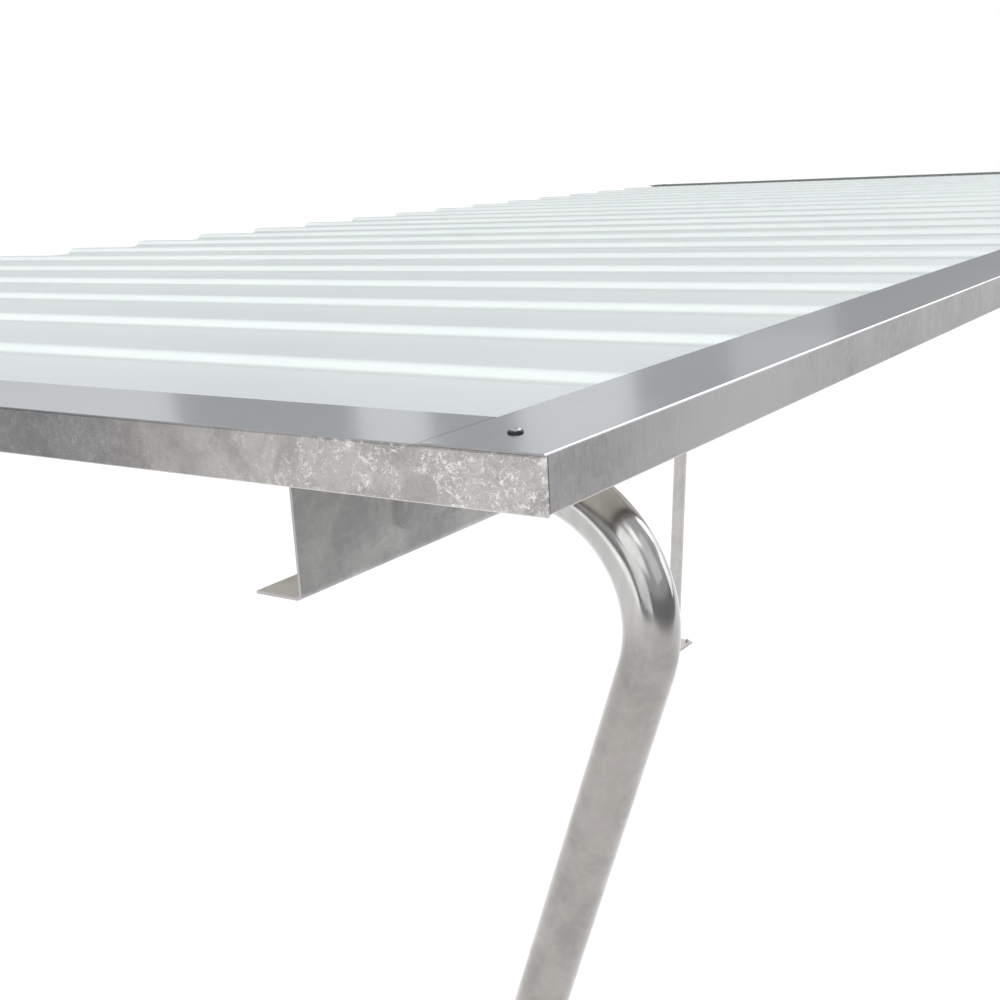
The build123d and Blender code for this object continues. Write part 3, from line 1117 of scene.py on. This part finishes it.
# %% [markdown]
# Bolts and nuts.
# Twelve-millimetre bolts clamp the end plates to the purlins, and the same size of nut holds the feet on
# their anchors. A head or a nut is a six-sided prism whose corners are turned off, on a round washer.
# Beyond a nut the thread sticks out: extruding a ring up and pulling it in, then up and out again, makes
# its ridges.

# %% Bolt and nut models
bolt_radius = 0.006
hex_radius = 0.0104
bolt_head_height = 0.0075
nut_height = 0.010
washer_radius = 0.012
washer_height = 0.0025
thread_pitch = 0.00175
thread_turns = 3
thread_root_share = 0.86


def flat_washer():
    """A round washer with a blunt rim."""
    piece = disc("washer_model", washer_radius, washer_height)
    round_rim(washer_height, 0.2, 2)
    return close(piece)


def hex_block(height):
    """A six-sided block on the washer, with the corners of its top turned off."""
    piece = disc("hex_model", hex_radius, height, washer_height, sides=6)
    top = washer_height + height
    pick("FACE", lambda m: m.z > top - hair)
    bpy.ops.mesh.inset(thickness=0.1 * hex_radius, depth=0)
    bpy.ops.transform.translate(value=(0, 0, 0.04 * height))
    pick("EDGE", lambda m: m.z > top - hair and m.xy.length > 0.8 * hex_radius)
    bpy.ops.mesh.bevel(offset=0.06 * height, segments=2, affect="EDGES")
    return close(piece)


def thread_end(start):
    """The end of a thread above a nut."""
    bpy.ops.mesh.primitive_circle_add(
        vertices=round_sides, radius=bolt_radius, fill_type="NGON", location=(0, 0, start)
    )
    piece = begin("thread_model")
    pick_all()
    for _ in range(thread_turns):
        for scale in (thread_root_share, 1 / thread_root_share):
            extrude((0, 0, thread_pitch / 2))
            bpy.ops.transform.resize(value=(scale, scale, 1), center_override=(0, 0, 0))
    bpy.ops.mesh.inset(thickness=0.15 * bolt_radius, depth=0.1 * bolt_radius)
    return close(piece)


bolt_head = merged([flat_washer(), hex_block(bolt_head_height)])
bolt_nut = merged([flat_washer(), hex_block(nut_height), thread_end(washer_height + nut_height)])
print("faces of head and nut:", [len(m.data.polygons) for m in (bolt_head, bolt_nut)])

# %% [markdown]
# Joint bolts.
# Each end plate is clamped by two bolts, one on either side of the tube. Their heads face the high edge and
# their nuts the eave. The three joints of a frame differ only in where the clamped plates begin and end.

# %% Joint bolts
bolt_offset = 0.075
joints = {"front": (0.281, 0.300), "middle": (1.6665, 1.6855), "rear": (3.052, 3.063)}
up_slope_turn = Matrix.Rotation(pi / 2, 4, "X")
down_slope_turn = Matrix.Rotation(-pi / 2, 4, "X")
for name, side in ends:
    for joint, (head_down, nut_down) in joints.items():
        places = [side * frame_x + across for across in (-bolt_offset, bolt_offset)]
        heads = copies(bolt_head, [on_roof(x, head_down, rafter_level) @ up_slope_turn for x in places])
        nuts = copies(bolt_nut, [on_roof(x, nut_down, rafter_level) @ down_slope_turn for x in places])
        hang(f"{name}_{joint}_joint_bolts", merged([heads, nuts]), bolt_zinc, "plate")

# %% [markdown]
# Anchors.
# Every base plate has four holes for anchors set in the ground. Above the plate only the washer, the nut
# and the end of the thread show, so the nut model serves again.

# %% Anchors
anchor_offset = 0.065
feet = {}
for name in ("left_front", "left_rear", "right_front", "right_rear"):
    plate_low, plate_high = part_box(f"{name}_base_plate")
    feet[name] = (plate_low + plate_high) / 2
    anchor_seats = []
    for across in (-anchor_offset, anchor_offset):
        for down in (-anchor_offset, anchor_offset):
            seat = (feet[name].x + across, feet[name].y + down, base_thickness)
            anchor_seats.append(Matrix.Translation(seat))
    hang(f"{name}_anchors", copies(bolt_nut, anchor_seats), bolt_zinc, "plate")
discard(bolt_head, bolt_nut)

# %% [markdown]
# Weld beads.
# The tubes and rafters are welded to their plates all round. A bead follows the outline of the section: a
# circle or a rounded square, turned into a curve with a round profile and back into a mesh. The welder's
# small steps leave ripples, so every other group of vertices is swollen a little.

# %% Weld models
bead_radius = 0.0032
ripple = 0.0005
ripple_count = 21
ripple_share = 0.3
bead_sides = 96
side_cuts = 20
rafter_half = 0.030
rafter_corner = 0.006


def bead(outline):
    """Turn an open outline into a rippled bead."""
    close(outline)
    bpy.ops.object.convert(target="CURVE")
    outline.data.bevel_depth = bead_radius
    outline.data.bevel_resolution = 2
    bpy.ops.object.convert(target="MESH")
    begin(outline.name)
    pick("VERT", lambda m: sin(atan2(m.y, m.x) * ripple_count) > ripple_share)
    bpy.ops.transform.shrink_fatten(value=ripple)
    return close(outline)


def round_bead(radius):
    """A bead round a tube, in the XY plane."""
    bpy.ops.mesh.primitive_circle_add(vertices=bead_sides, radius=radius)
    return bead(begin("round_bead_model"))


def square_bead():
    """A bead round a rafter, in the XY plane."""
    bpy.ops.mesh.primitive_plane_add(size=2 * rafter_half)
    outline = begin("square_bead_model")
    pick_all()
    bpy.ops.mesh.bevel(offset=rafter_corner, segments=4, affect="VERTICES")
    pick_all()
    bpy.ops.mesh.delete(type="ONLY_FACE")
    pick("EDGE", lambda m: min(abs(m.x), abs(m.y)) < hair)
    bpy.ops.mesh.subdivide(number_cuts=side_cuts)
    return bead(outline)


front_bead = round_bead(tube_radius)
rear_bead = round_bead(rear_tube_radius)
rafter_bead = square_bead()
print("beads:", [len(b.data.polygons) for b in (front_bead, rear_bead, rafter_bead)])

# %% Frame welds
lean_stretch = Matrix.Diagonal((1, 1 / cos(leg_lean), 1, 1))
arm_end_down = web_distance - plate_thickness
rafter_ends = (joints["front"][1], *joints["middle"], joints["rear"][0])
for name, side in ends:
    x = side * frame_x
    leg_foot = Matrix.Translation((*feet[f"{name}_front"].xy, base_thickness))
    post_foot = Matrix.Translation((*feet[f"{name}_rear"].xy, base_thickness))
    arm_end = on_roof(x, arm_end_down, rafter_level) @ up_slope_turn
    cap_underside = on_roof(x, cap_distance, cap_level)
    rafter_places = [on_roof(x, down, rafter_level) @ up_slope_turn for down in rafter_ends]
    welds = merged([
        copies(front_bead, [leg_foot @ lean_stretch, arm_end]),
        copies(rear_bead, [post_foot, cap_underside]),
        copies(rafter_bead, rafter_places),
    ])
    hang(f"{name}_frame_welds", welds, weld_zinc, "plate")
discard(front_bead, rear_bead, rafter_bead)
